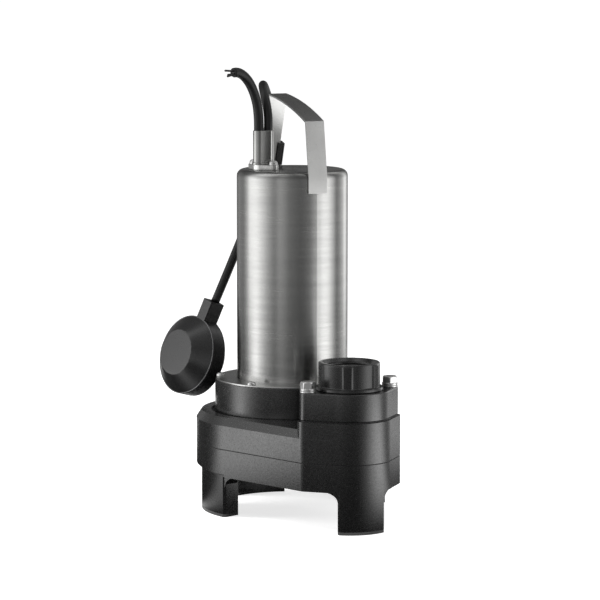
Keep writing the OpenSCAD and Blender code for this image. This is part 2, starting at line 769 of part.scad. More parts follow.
// A backward curved vane between the hub and the rim
module vane() {
    intersection() {
        difference() {
            translate([impeller_d * 0.2, impeller_d * 0.22]) circle(r = impeller_d * 0.32);
            translate([impeller_d * 0.2, impeller_d * 0.22]) circle(r = impeller_d * 0.32 - 4);
        }
        translate([hub_d / 2 - 2, -impeller_d * 0.3]) square([impeller_d / 2, impeller_d * 0.3 + 4]);
        circle(d = impeller_d);
    }
}

module impeller() in_frame() color([0.3, 0.3, 0.3]) {
    translate([0, 0, impeller_z]) difference() {
        union() {
            cylinder(d = hub_d, h = impeller_h + 3);
            translate([0, 0, impeller_h - impeller_web_t]) cylinder(d = impeller_d, h = impeller_web_t);
            linear_extrude(impeller_h - impeller_web_t + fit)
                for (i = [0:vane_count - 1]) rotate(360 * i / vane_count) vane();
        }
        translate([0, 0, -eps]) cylinder(d = shaft_d + 2 * fit, h = impeller_h + 4);
        translate([0, -2.6, 1.9]) cube([shaft_d / 2 + 2.6, 5.2, impeller_h + 4]);
    }
}

module impeller_key() in_frame() color([0.65, 0.65, 0.65]) {
    translate([shaft_d / 2 - 2.4, -2.4, impeller_z + 2.1]) cube([4.8, 4.8, 13.7]);
}

module impeller_washer() in_frame() color([0.7, 0.7, 0.7]) {
    translate([0, 0, impeller_z - 2]) tube(24, thread_d + 2 * fit, 2 - fit);
}

module impeller_nut() in_frame() color([0.7, 0.7, 0.7]) {
    translate([0, 0, impeller_z - 2 - nut_h]) difference() {
        hex_head(16, nut_h);
        translate([0, 0, -eps]) cylinder(d = thread_d + 2 * fit, h = nut_h + 2 * eps);
    }
}

module block_gasket() in_frame() color([0.05, 0.05, 0.05]) {
    difference() {
        translate([0, 0, tower_z]) linear_extrude(gasket_t) around(tower_plan, block_inset + gasket_inset);
        at_discharge(tower_z - eps) cylinder(d = passage_d, h = gasket_t + 2 * eps);
        at_bolts(tower_z - eps) cylinder(d = bolt_d + 0.6, h = gasket_t + 2 * eps);
    }
}

module discharge_block() in_frame() color([0.16, 0.16, 0.16]) {
    difference() {
        union() {
            translate([0, 0, block_z]) linear_extrude(block_h) around(tower_plan, block_inset);
        }
        at_discharge(block_z - eps) cylinder(d = passage_d, h = block_h + 2 * eps);
        at_discharge(block_top_z - 14) cylinder(d = stub_d - 8 + 2 * fit, h = 14 + eps);
        at_bolts(block_z - eps) cylinder(d = bolt_d + 0.6, h = block_h + 2 * eps);
    }
}

module discharge_stub() in_frame() color([0.1, 0.1, 0.1]) {
    difference() {
        union() {
            at_discharge(block_top_z - 13.9) cylinder(d = stub_d - 8, h = 14 + stub_h - 4);
            at_discharge(block_top_z) cylinder(d = stub_d, h = stub_h - 1.5);
            at_discharge(block_top_z) cylinder(d = stub_d + 6.6, h = 3.9);
            at_discharge(stub_top_z - 1.5) cylinder(d1 = stub_d, d2 = stub_d - 3, h = 1.5);
            at_discharge(block_top_z) for (i = [0:5]) rotate(30 + 60 * i)
                translate([stub_d / 2 - 4, -4, 0]) cube([5.2, 8, stub_h - 2]);
        }
        at_discharge(block_top_z - 15) cylinder(d = passage_d, h = 16 + stub_h);
        at_discharge(stub_top_z - thread_depth) cylinder(d = stub_bore_d, h = thread_depth + eps);
    }
}

module discharge_washers() in_frame() color([0.8, 0.8, 0.8]) {
    at_bolts(block_top_z) {
        tube(washer_d, bolt_d + 0.4, 1.6);
        translate([0, 0, 1.6]) tube(washer_d - 2, bolt_d + 0.4, washer_t - 1.6);
    }
}

module discharge_bolts() in_frame() color([0.82, 0.82, 0.82]) {
    at_bolts(block_top_z + washer_t) {
        intersection() {
            hex_head(bolt_d * 1.62, bolt_d * 0.8);
            rotate_extrude() polygon([[0, 0], [bolt_d, 0], [bolt_d, bolt_d * 0.65],
                [bolt_d * 0.72, bolt_d * 0.8], [0, bolt_d * 0.8]]);
        }
        translate([0, 0, -bolt_l]) cylinder(d = bolt_d - 0.2, h = bolt_l);
    }
}

module cable_clip() in_frame() color([0.08, 0.08, 0.08]) {
    at_clip() difference() {
        union() {
            translate([0, -clip_side, -clip_l / 2])
                cube([clip_reach + cable_d / 2 + 1.8, 2 * clip_side, clip_l]);
            translate([-strap_t / 2 - clip_wall, clip_edge - clip_grip, -clip_l / 2])
                cube([strap_t / 2 + clip_wall + 1, clip_side - clip_edge + clip_grip, clip_l]);
        }
        translate([clip_reach, 0, -clip_l / 2 - eps])
            cylinder(d = cable_d + 2 * clip_play, h = clip_l + 2 * eps);
        translate([-strap_t / 2 - fit, -strap_w, -clip_l / 2 - eps])
            cube([strap_t + 2 * fit, strap_w + clip_edge + fit, clip_l + 2 * eps]);
    }
}

module power_cable() in_frame() color([0.06, 0.06, 0.06]) {
    pts = smooth(power_route, 2);
    swept(pts, [for (p = pts) power_cable_d], 12);
}

module power_cable_cores() in_frame() color([0.3, 0.2, 0.12]) {
    for (route = core_routes) swept(route, [core_d, core_d], 8);
}

// The held part of the float's cable, whose last ring tapers so that the free part can turn past it
module float_cable_fixed() in_frame() color([0.06, 0.06, 0.06]) {
    pts = smooth(loop_route, 2);
    n = len(pts);
    taper = unit(swing_point - pts[n - 1]);
    shoulder = swing_point - taper * cable_d * 0.83;
    tip = swing_point - taper * cable_d * 0.59;
    swept(concat([for (i = [0:n - 3]) pts[i]], [shoulder, tip]),
        concat([for (i = [0:n - 2]) cable_d], [0.6]), 12);
}

// The free part of the float's cable, with a round end at the point that it swings about
module float_cable_free() in_frame() color([0.06, 0.06, 0.06]) {
    pts = smooth(drop_route, 2);
    back = unit(pts[0] - pts[1]);
    cap = [for (t = [75, 50, 25]) pts[0] + back * cable_d / 2 * sin(t)];
    swept(concat(cap, pts), concat([for (t = [75, 50, 25]) cable_d * cos(t)], [for (p = pts) cable_d]), 12);
}

// One half of the float, turned about X, with its face on the +X side
module float_half() {
    r = float_d / 2;
    half = float_t / 2;
    band = float_band / 2;
    rotate([0, 90, 0]) rotate_extrude() difference() {
        polygon([[0, 0], [r, 0], [r, band - 1], [r - 1, band], [float_face_d / 2, half - 0.5],
            [float_face_d / 2 - 1, half], [0, half]]);
        polygon([[-1, -1], [r - float_wall, -1], [r - float_wall, band - 1],
            [float_face_d / 2 - 2, half - float_wall], [-1, half - float_wall]]);
    }
}

module float_front_shell() in_frame() color([0.2, 0.21, 0.22]) at_float() float_half_cut(0);

module float_back_shell() in_frame() color([0.2, 0.21, 0.22]) at_float() float_half_cut(180);

module float_half_cut(turn) {
    difference() {
        rotate([0, 0, turn]) translate([fit / 2, 0, 0]) float_half();
        translate([-float_neck_t / 2 - fit, -float_neck_w / 2 - fit, float_d / 2 - 8])
            cube([float_neck_t + 2 * fit, float_neck_w + 2 * fit, 20]);
    }
}

module float_neck() in_frame() color([0.12, 0.12, 0.13]) at_float() {
    translate([-float_neck_t / 2, -float_neck_w / 2, float_d / 2 - 7.5])
        cube([float_neck_t, float_neck_w, float_neck_l + 7.5]);
}

module float_switch() in_frame() color([0.7, 0.68, 0.6]) at_float() {
    difference() {
        translate([-float_t / 2 + float_wall + fit, -switch_w / 2, -switch_h / 2])
            cube([float_t - 2 * float_wall - 2 * fit, switch_w, switch_h]);
        translate([-ball_run / 2, 0, 0]) rotate([0, 90, 0]) cylinder(d = ball_d + 1, h = ball_run);
    }
}

module float_ball() in_frame() color([0.7, 0.7, 0.72]) at_float() {
    translate([0, 0, -0.2]) sphere(d = ball_d);
}

motor_housing();
housing_flange();
flange_screws();
carry_handle();
gland_flange();
gland_sleeve();
gland_grommet();
gland_screws();
gland_backing_plate();
capacitor();
terminal_block();
upper_bracket();
upper_bearing();
stator_core();
stator_windings();
rotor_core();
shaft();
lower_bearing();
seal_chamber();
housing_o_ring();
lip_seal();
seal_seat();
seal_face();
seal_spring();
chamber_o_ring();
volute_casing();
casing_gasket();
base_casing();
casing_screws();
impeller();
impeller_key();
impeller_washer();
impeller_nut();
discharge_block();
block_gasket();
discharge_stub();
discharge_bolts();
discharge_washers();
cable_clip();
power_cable();
power_cable_cores();
float_cable_fixed();
float_cable_free();
float_front_shell();
float_back_shell();
float_neck();
float_switch();
float_ball();
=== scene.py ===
"""Submersible sewage pump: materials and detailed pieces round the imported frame. Metres."""
import math

import bmesh
import bpy
from mathutils import Euler, Matrix, Vector


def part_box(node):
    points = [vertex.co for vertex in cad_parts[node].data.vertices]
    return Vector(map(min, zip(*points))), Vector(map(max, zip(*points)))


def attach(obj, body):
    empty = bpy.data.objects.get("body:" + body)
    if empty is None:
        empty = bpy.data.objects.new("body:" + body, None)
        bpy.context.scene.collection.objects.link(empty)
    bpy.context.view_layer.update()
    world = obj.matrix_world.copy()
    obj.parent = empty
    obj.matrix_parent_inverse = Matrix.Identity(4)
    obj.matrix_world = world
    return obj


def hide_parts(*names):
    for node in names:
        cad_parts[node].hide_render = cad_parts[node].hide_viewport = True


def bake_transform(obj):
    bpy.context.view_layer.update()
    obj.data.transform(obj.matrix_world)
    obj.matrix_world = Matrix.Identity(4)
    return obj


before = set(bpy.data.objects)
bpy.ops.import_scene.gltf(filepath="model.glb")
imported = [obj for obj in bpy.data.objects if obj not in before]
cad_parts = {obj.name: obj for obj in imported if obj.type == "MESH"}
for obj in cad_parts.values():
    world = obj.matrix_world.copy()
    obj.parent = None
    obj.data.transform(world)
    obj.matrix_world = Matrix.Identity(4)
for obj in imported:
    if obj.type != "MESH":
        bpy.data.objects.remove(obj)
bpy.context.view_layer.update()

MM = 0.001
can_low, can_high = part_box("motor_housing")
SHAFT = Vector(((can_low.x + can_high.x) / 2, (can_low.y + can_high.y) / 2, 0))

# Camera, at the photograph's viewing angle
CAMERA_TURN = math.radians(63.8)
CAMERA_PITCH = math.radians(6.806)
CAMERA_FROM_SHAFT = Vector((2.8759, -1.4062, 0.5984))
SENSOR = 36
LENS = 186


def make_camera():
    data = bpy.data.cameras.new("camera")
    data.sensor_width = SENSOR
    data.lens = LENS
    data.clip_end = 50
    camera = bpy.data.objects.new("camera", data)
    ahead = Vector((-math.sin(CAMERA_TURN) * math.cos(CAMERA_PITCH),
                    math.cos(CAMERA_TURN) * math.cos(CAMERA_PITCH), -math.sin(CAMERA_PITCH)))
    camera.location = SHAFT + CAMERA_FROM_SHAFT
    camera.rotation_mode = "QUATERNION"
    camera.rotation_quaternion = ahead.to_track_quat("-Z", "Y")
    bpy.context.scene.collection.objects.link(camera)
    bpy.context.scene.camera = camera


make_camera()


# Routes of the cables, as in the part's source, in millimetres from the shaft's axis
POWER_D = 10 * MM
FLOAT_CABLE_D = 9 * MM
POWER_ROUTE = [(0, -38.3, 392), (0, -38.3, 403), (0.1, -39.2, 414.9), (0.4, -41.5, 425.9),
               (1.1, -46, 437.2), (2.3, -52.1, 446.3), (4.1, -59.3, 452.2), (6.2, -66, 454.4),
               (7.8, -70.6, 453.9)]
LOOP_ROUTE = [(0, -27.7, 392), (0.1, -27.5, 400), (-0.1, -27.5, 408.4), (-2.2, -28, 418.6),
              (-7.2, -27.8, 427.8), (-15.2, -25.8, 434.7), (-24.6, -22, 438.4), (-35, -16.6, 439),
              (-44.9, -10.6, 436.8), (-52.3, -5, 431.4), (-56.6, 0, 422.8), (-57.9, 3.6, 411.5),
              (-57.6, 5.6, 399), (-58.9, 6.2, 386), (-63.3, 6.2, 370), (-66.4, 6.2, 359.8),
              (-69.3, 6.2, 350)]
SWING_POINT = (-70.8, 6.2, 345)
DROP_ROUTE = [(-73.6, 1.5, 331), (-77.5, -9, 303.5), (-81.4, -19.5, 276), (-85.1, -30.4, 248),
              (-87.5, -39.2, 226.5), (-89.6, -47.2, 207.3)]
CURVE_STEPS = 5
RELAX_ROUNDS = 8


def in_frame(point):
    return SHAFT + Vector(point) * MM


def smooth(points, steps):
    """Points on a smooth curve through the given ones, steps to each stretch."""
    made = []
    last = len(points) - 1
    for i in range(last):
        p0, p1 = points[max(i - 1, 0)], points[i]
        p2, p3 = points[i + 1], points[min(i + 2, last)]
        for j in range(steps):
            t = j / steps
            made.append(0.5 * (2 * p1 + (p2 - p0) * t + (2 * p0 - 5 * p1 + 4 * p2 - p3) * t * t
                               + (3 * p1 - p0 - 3 * p2 + p3) * t ** 3))
    made.append(points[last])
    return made


def relax(points, rounds):
    """Evens out the bends: each point moves towards the middle of its neighbours."""
    for _ in range(rounds):
        points = ([points[0]] + [(a + 2 * b + c) / 4 for a, b, c in
                                 zip(points, points[1:], points[2:])] + [points[-1]])
    return points


def cable_points(route):
    return relax(smooth([in_frame(p) for p in route], CURVE_STEPS), RELAX_ROUNDS)


def turns(sides):
    """Angles evenly round a circle."""
    return [2 * math.pi * k / sides for k in range(sides)]


# Mesh helpers

def add_object(name, mesh, body, material=None):
    piece = bpy.data.objects.new(name, mesh)
    bpy.context.scene.collection.objects.link(piece)
    if material:
        mesh.materials.append(material)
    if body:
        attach(piece, body)
    return piece


def mesh_of(name, bm, smooth_shading=True):
    bmesh.ops.recalc_face_normals(bm, faces=bm.faces)
    mesh = bpy.data.meshes.new(name)
    bm.to_mesh(mesh)
    bm.free()
    for polygon in mesh.polygons:
        polygon.use_smooth = smooth_shading
    return mesh


def add_rings(bm, rings, closed=False):
    """Joins rings of points of equal count by quads, and caps the ends of an open row."""
    made = [[bm.verts.new(p) for p in ring] for ring in rings]
    count = len(made[0])
    pairs = list(zip(made, made[1:]))
    if closed:
        pairs.append((made[-1], made[0]))
    for low, high in pairs:
        for k in range(count):
            bm.faces.new((low[k], low[(k + 1) % count], high[(k + 1) % count], high[k]))
    if not closed:
        bm.faces.new(list(reversed(made[0])))
        bm.faces.new(made[-1])


def tube_rings(points, radii, sides=24):
    """Rings across a route, without twist from one to the next."""
    rings = []
    last = len(points) - 1
    side = None
    for i, (p, r) in enumerate(zip(points, radii)):
        along = (points[min(i + 1, last)] - points[max(i - 1, 0)]).normalized()
        if side is None:
            side = along.orthogonal().normalized()
        side = (side - along * side.dot(along)).normalized()
        up = along.cross(side)
        rings.append([p + r * (math.cos(a) * side + math.sin(a) * up) for a in turns(sides)])
    return rings


# Materials

def new_material(name):
    material = bpy.data.materials.new(name)
    material.use_nodes = True
    nodes = material.node_tree.nodes
    return material, nodes, material.node_tree.links, nodes["Principled BSDF"]


def noise(nodes, links, coords, scale, detail=3, roughness=0.55):
    node = nodes.new("ShaderNodeTexNoise")
    node.inputs["Scale"].default_value = scale
    node.inputs["Detail"].default_value = detail
    node.inputs["Roughness"].default_value = roughness
    links.new(coords, node.inputs["Vector"])
    return node.outputs["Fac"]


def ramp(nodes, links, factor, stops):
    node = nodes.new("ShaderNodeValToRGB")
    while len(node.color_ramp.elements) < len(stops):
        node.color_ramp.elements.new(0.5)
    for element, (place, colour) in zip(node.color_ramp.elements, stops):
        element.position = place
        element.color = (*colour, 1) if hasattr(colour, "__len__") else (colour,) * 3 + (1,)
    links.new(factor, node.inputs["Fac"])
    return node.outputs["Color"]


def bump(nodes, links, height, distance, strength, shader):
    node = nodes.new("ShaderNodeBump")
    node.inputs["Distance"].default_value = distance
    node.inputs["Strength"].default_value = strength
    links.new(height, node.inputs["Height"])
    links.new(node.outputs["Normal"], shader.inputs["Normal"])


def math_node(nodes, links, operation, *values, clamp=False):
    """A maths node on sockets or plain numbers."""
    node = nodes.new("ShaderNodeMath")
    node.operation = operation
    node.use_clamp = clamp
    for socket, value in zip(node.inputs, values):
        if isinstance(value, (int, float)):
            socket.default_value = value
        else:
            links.new(value, socket)
    return node.outputs[0]


def ray_kinds(nodes, links, *kinds):
    """1 for rays of the given kinds, and 0 for the others."""
    path = nodes.new("ShaderNodeLightPath")
    total = path.outputs[kinds[0]]
    for kind in kinds[1:]:
        total = math_node(nodes, links, "ADD", total, path.outputs[kind], clamp=True)
    return total


def object_coords(nodes):
    return nodes.new("ShaderNodeTexCoord").outputs["Object"]


CLOUD_SCALE = 25


def grained(name, dark, light, rough_low, rough_high, grain_scale, grain_depth, metallic=0,
            specular=0.5):
    """A surface with a fine grain, and slow changes of colour and gloss over it."""
    material, nodes, links, shader = new_material(name)
    coords = object_coords(nodes)
    grain = noise(nodes, links, coords, grain_scale, 4, 0.6)
    cloud = noise(nodes, links, coords, CLOUD_SCALE)
    links.new(ramp(nodes, links, cloud, [(0.3, dark), (0.7, light)]), shader.inputs["Base Color"])
    links.new(ramp(nodes, links, grain, [(0.3, rough_low), (0.7, rough_high)]),
              shader.inputs["Roughness"])
    shader.inputs["Metallic"].default_value = metallic
    shader.inputs["Specular IOR Level"].default_value = specular
    bump(nodes, links, grain, grain_depth, 1.0, shader)
    return material


BRUSH_LINES = 900
BRUSH_DEPTH = 0.00003
BROAD_STRETCH = (0.6, 1, 0.12)


def brushed_round(name, dark, light, rough_low, rough_high, anisotropy):
    """Metal brushed round the shaft's axis: long fine lines at each height."""
    material, nodes, links, shader = new_material(name)
    split = nodes.new("ShaderNodeSeparateXYZ")
    links.new(object_coords(nodes), split.inputs[0])
    across = math_node(nodes, links, "SUBTRACT", split.outputs["X"], SHAFT.x)
    angle = math_node(nodes, links, "ARCTAN2", split.outputs["Y"], across)
    turn = math_node(nodes, links, "ABSOLUTE", angle)
    tall = math_node(nodes, links, "MULTIPLY", split.outputs["Z"], BRUSH_LINES)
    lines = nodes.new("ShaderNodeCombineXYZ")
    links.new(turn, lines.inputs["X"])
    links.new(tall, lines.inputs["Z"])
    fine = noise(nodes, links, lines.outputs[0], 1.6, 5, 0.7)
    broad_lines = nodes.new("ShaderNodeVectorMath")
    broad_lines.operation = "MULTIPLY"
    broad_lines.inputs[1].default_value = BROAD_STRETCH
    links.new(lines.outputs[0], broad_lines.inputs[0])
    broad = noise(nodes, links, broad_lines.outputs[0], 1.0, 3, 0.6)
    half = math_node(nodes, links, "MULTIPLY", fine, 0.5)
    both = math_node(nodes, links, "MULTIPLY_ADD", broad, 0.5, half)
    links.new(ramp(nodes, links, both, [(0.35, dark), (0.65, light)]), shader.inputs["Base Color"])
    links.new(ramp(nodes, links, both, [(0.3, rough_low), (0.7, rough_high)]),
              shader.inputs["Roughness"])
    shader.inputs["Metallic"].default_value = 1
    shader.inputs["Anisotropic"].default_value = anisotropy
    shader.inputs["Anisotropic Rotation"].default_value = 0.25
    tangent = nodes.new("ShaderNodeTangent")
    tangent.direction_type = "RADIAL"
    tangent.axis = "Z"
    links.new(tangent.outputs[0], shader.inputs["Tangent"])
    bump(nodes, links, fine, BRUSH_DEPTH, 0.6, shader)
    return material


STEEL_DARK = (0.325, 0.325, 0.32)
STEEL_LIGHT = (0.43, 0.43, 0.42)
stainless = brushed_round("brushed_stainless", STEEL_DARK, STEEL_LIGHT, 0.21, 0.29, 0.75)
strap_steel = grained("strap_stainless", (0.44, 0.44, 0.435), (0.54, 0.54, 0.53), 0.26, 0.36,
                      900, 0.000008, metallic=1)
bright_steel = grained("bright_steel", (0.5, 0.5, 0.49), (0.62, 0.62, 0.61), 0.2, 0.32,
                       500, 0.000006, metallic=1)
zinc = grained("zinc_plated_steel", (0.58, 0.58, 0.575), (0.72, 0.72, 0.715), 0.32, 0.44,
               350, 0.000006, metallic=1)
cast_iron = grained("black_cast_iron", (0.005, 0.005, 0.005), (0.009, 0.009, 0.009), 0.2, 0.31,
                    460, 0.00006, specular=1.0)
plastic = grained("black_plastic", (0.006, 0.006, 0.006), (0.01, 0.01, 0.01), 0.2, 0.32,
                  900, 0.00001, specular=0.6)
rubber = grained("black_rubber", (0.012, 0.012, 0.012), (0.02, 0.02, 0.02), 0.4, 0.55,
                 800, 0.00006)
cable_rubber = grained("cable_rubber", (0.005, 0.005, 0.005), (0.008, 0.008, 0.008), 0.34, 0.46,
                       600, 0.00003, specular=0.35)
float_plastic = grained("float_plastic", (0.007, 0.007, 0.0072), (0.011, 0.011, 0.0113), 0.26,
                        0.36, 900, 0.00002, specular=0.65)
# The float's seam: the same black plastic as the float, painted paler as a highlight along the
# weld.
seam_painted_highlight = grained("float_seam_painted_highlight", (0.05, 0.05, 0.052), (0.08, 0.08, 0.082), 0.16, 0.24,
                       900, 0.00001, specular=1.0)
sleeve_steel = grained("sleeve_stainless", (0.29, 0.29, 0.285), (0.36, 0.36, 0.35), 0.16, 0.24,
                       900, 0.000003, metallic=1)
copper = grained("copper_winding", (0.5, 0.2, 0.08), (0.72, 0.32, 0.14), 0.25, 0.45,
                 400, 0.0002, metallic=1)
core_steel = grained("core_steel", (0.2, 0.2, 0.21), (0.32, 0.32, 0.33), 0.3, 0.5,
                     600, 0.0001, metallic=1)
pale_plastic = grained("pale_plastic", (0.62, 0.6, 0.55), (0.7, 0.68, 0.62), 0.35, 0.5,
                       500, 0.00008)
carbon = grained("seal_carbon", (0.02, 0.02, 0.022), (0.04, 0.04, 0.044), 0.25, 0.4,
                 700, 0.00005)

NODE_MATERIALS = {
    stainless: ["motor_housing"],
    strap_steel: ["carry_handle", "housing_flange"],
    sleeve_steel: ["gland_sleeve"],
    bright_steel: ["gland_flange", "upper_bracket", "gland_backing_plate", "seal_spring", "shaft",
                   "upper_bearing", "lower_bearing", "impeller_key", "float_ball"],
    zinc: ["flange_screws", "gland_screws", "discharge_bolts", "discharge_washers",
           "casing_screws", "impeller_washer", "impeller_nut"],
    cast_iron: ["seal_chamber", "volute_casing", "base_casing", "discharge_block", "impeller"],
    plastic: ["discharge_stub", "cable_clip", "terminal_block"],
    rubber: ["gland_grommet", "housing_o_ring", "chamber_o_ring", "lip_seal", "casing_gasket",
             "block_gasket"],
    core_steel: ["stator_core", "rotor_core"],
    copper: ["stator_windings"],
    pale_plastic: ["capacitor", "float_switch", "seal_seat"],
    carbon: ["seal_face"],
    float_plastic: ["float_front_shell", "float_back_shell", "float_neck"],
    cable_rubber: ["power_cable", "power_cable_cores", "float_cable_fixed", "float_cable_free"],
}


def dress_nodes():
    for material, names in NODE_MATERIALS.items():
        for name in names:
            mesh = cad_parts[name].data
            mesh.materials.clear()
            mesh.materials.append(material)


dress_nodes()


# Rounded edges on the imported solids
EDGE_ANGLE = math.radians(32)
WELD_REACH = 0.01 * MM


def round_edges(names, width):
    for name in names:
        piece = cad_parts[name]
        weld = piece.modifiers.new("weld", "WELD")
        weld.merge_threshold = WELD_REACH
        bevel = piece.modifiers.new("edges", "BEVEL")
        bevel.width = width
        bevel.segments = 2
        bevel.limit_method = "ANGLE"
        bevel.angle_limit = EDGE_ANGLE
        bevel.miter_outer = "MITER_ARC"
        even = piece.modifiers.new("normals", "WEIGHTED_NORMAL")
        even.mode = "FACE_AREA"
        even.weight = 100
        piece.data.shade_smooth()


round_edges(["volute_casing", "base_casing", "discharge_block", "seal_chamber"], 1.1 * MM)
round_edges(["housing_flange", "gland_flange", "gland_sleeve", "carry_handle"], 0.3 * MM)
round_edges(["cable_clip", "float_neck", "float_front_shell", "float_back_shell"], 0.5 * MM)


# Cables
CUT_EDGE = 0.6 * MM


def add_power_cable():
    points = cable_points(POWER_ROUTE)
    bm = bmesh.new()
    radii = [POWER_D / 2] * len(points)
    radii[-1] -= CUT_EDGE
    add_rings(bm, tube_rings(points, radii))
    cable = add_object("power_cable_jacket", mesh_of("power_cable_jacket", bm), "pump",
                       cable_rubber)
    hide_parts("power_cable")


def add_float_cable():
    points = cable_points(LOOP_ROUTE + [SWING_POINT] + DROP_ROUTE)
    bm = bmesh.new()
    add_rings(bm, tube_rings(points, [FLOAT_CABLE_D / 2] * len(points)))
    cable = add_object("float_cable", mesh_of("float_cable", bm), None, cable_rubber)
    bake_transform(cable)
    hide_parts("float_cable_fixed", "float_cable_free")


add_power_cable()
add_float_cable()


# Fasteners, the threaded stub, the float's seam and the clip's side, in millimetres
DISCHARGE = (136, -3)
BOLT_PITCH = 92
BLOCK_TOP = 140.8
HOUSING_BOTTOM = 136.3
SHARP_ANGLE = math.radians(28)


def level_ring(centre, z, angles, radii):
    """Points round a centre at height z."""
    return [in_frame((centre[0] + r * math.cos(a), centre[1] + r * math.sin(a), z))
            for a, r in zip(angles, radii)]


def hex_radius(a, across):
    """Radius, in direction a, of a hexagon that measures across between its flats."""
    step = math.pi / 3
    return across / 2 / math.cos((a + step / 2) % step - step / 2)


def finish_piece(name, bm, body, material, slot, *nodes):
    mesh = mesh_of(name, bm)
    mesh.set_sharp_from_angle(angle=SHARP_ANGLE)
    piece = add_object(name, mesh, body, material)
    if nodes:
        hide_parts(*nodes)


BOLT_ACROSS = 14
BOLT_HEAD = 6.4
BOLT_TOP_R = 6.65
BOLT_CHAMFER = 1.3
BOLT_SHANK_R = 3.9
BOLT_SHANK = 48


def add_hex_bolt(bm, centre, seat, turn):
    """A hex head with a chamfered top, and its shank."""
    angles = turns(72)
    corner_r = BOLT_ACROSS / math.sqrt(3)
    shoulder = BOLT_HEAD - BOLT_CHAMFER
    caps = [(0, corner_r)] + [(shoulder + BOLT_CHAMFER * k / 5,
                               corner_r + (BOLT_TOP_R - corner_r) * k / 5) for k in range(6)]
    rings = [level_ring(centre, z, angles, [BOLT_SHANK_R] * len(angles))
             for z in (seat - BOLT_SHANK, seat)]
    for rise, cap in caps:
        radii = [min(hex_radius(a - turn, BOLT_ACROSS), cap) for a in angles]
        rings.append(level_ring(centre, seat + rise, angles, radii))
    add_rings(bm, rings)


SCREW_SHANK_R = 2.4
SCREW_EDGE_SHARE = 0.22
SCREW_FLAT_SHARE = 0.62
FLANGE_SCREW_R = 75
FLANGE_SCREW = {"width": 8.9, "tall": 3.4, "shank": 46, "driver": 3}
GLAND_AT = (0, -33)
GLAND_TURN = math.radians(24)
GLAND_SCREW_R = 13.1
GLAND_TOP = 358.8
GLAND_SCREW = {"width": 9.2, "tall": 4.4, "shank": 12, "driver": 3.2}


def add_button_screw(bm, centre, seat, turn, width, tall, shank, driver):
    """A domed head with a hexagon socket, and its shank."""
    angles = turns(48)
    r = width / 2
    flat_r = driver * SCREW_FLAT_SHARE
    edge = SCREW_EDGE_SHARE
    rows = [(SCREW_SHANK_R, -shank), (SCREW_SHANK_R, 0), (r - 0.15, 0), (r, 0.25), (r, tall * edge)]
    rows += [(flat_r + (r - flat_r) * math.cos(t), tall * (edge + (1 - edge) * math.sin(t)))
             for t in (math.radians(v) for v in (20, 40, 60, 78, 90))]
    rings = [level_ring(centre, seat + h, angles, [q] * len(angles)) for q, h in rows]
    socket = [hex_radius(a - turn, driver) for a in angles]
    rings += [level_ring(centre, seat + h, angles, socket) for h in (tall - 0.05, tall * 0.4)]
    add_rings(bm, rings)


WASHER_INNER = 4.2
WASHER_STACK_T = 4.4
FLAT_WASHER = {"outer": 8.2, "tall": 1.7, "edge": 0.3}
SPRING_WASHER = {"outer": 8, "tall": 2.5, "edge": 0.4}
SPRING_WASHER_RISE = 1.8


def add_washer(bm, centre, z, outer, tall, edge):
    angles = turns(56)
    inner = WASHER_INNER
    rows = [(inner, 0), (outer - edge, 0), (outer, edge), (outer, tall - edge),
            (outer - edge, tall), (inner + edge, tall), (inner, tall - edge)]
    add_rings(bm, [level_ring(centre, z + h, angles, [q] * len(angles)) for q, h in rows],
              closed=True)


def add_fasteners():
    """The outlet's bolts and washers, and the screws of the housing's flange and the gland."""
    x, y = DISCHARGE
    spots = [((x, y - BOLT_PITCH / 2), 0.5), ((x, y + BOLT_PITCH / 2), 0.1)]
    bm = bmesh.new()
    for spot, turn in spots:
        add_hex_bolt(bm, spot, BLOCK_TOP + WASHER_STACK_T, turn)
    finish_piece("discharge_hex_bolts", bm, "pump", zinc, "zinc_steel", "discharge_bolts")
    bm = bmesh.new()
    for spot, turn in spots:
        add_washer(bm, spot, BLOCK_TOP, **FLAT_WASHER)
        add_washer(bm, spot, BLOCK_TOP + SPRING_WASHER_RISE, **SPRING_WASHER)
    finish_piece("discharge_washer_pairs", bm, "pump", zinc, "zinc_steel", "discharge_washers")
    bm = bmesh.new()
    for k, a in enumerate(turns(6)):
        spot = (FLANGE_SCREW_R * math.cos(a), FLANGE_SCREW_R * math.sin(a))
        add_button_screw(bm, spot, HOUSING_BOTTOM, 0.4 * k, **FLANGE_SCREW)
    finish_piece("flange_button_screws", bm, "pump", zinc, "zinc_steel", "flange_screws")
    bm = bmesh.new()
    for side in (-1, 1):
        spot = (GLAND_AT[0] + side * GLAND_SCREW_R * math.cos(GLAND_TURN),
                GLAND_AT[1] + side * GLAND_SCREW_R * math.sin(GLAND_TURN))
        add_button_screw(bm, spot, GLAND_TOP, 0.3, **GLAND_SCREW)
    finish_piece("gland_button_screws", bm, "pump", zinc, "zinc_steel", "gland_screws")


STUB_TOP = 169
RIB_COUNT = 6
RIB_ANGLES = [-11, -9.6, -8.2, -7, -3.5, 0, 3.5, 7, 8.2, 9.6, 11, 17, 23, 30, 37, 43]
RIB_SHARES = [0, 0.25, 0.7, 1, 1, 1, 1, 1, 0.7, 0.25, 0, 0, 0, 0, 0, 0]
PASSAGE_R = 19.9
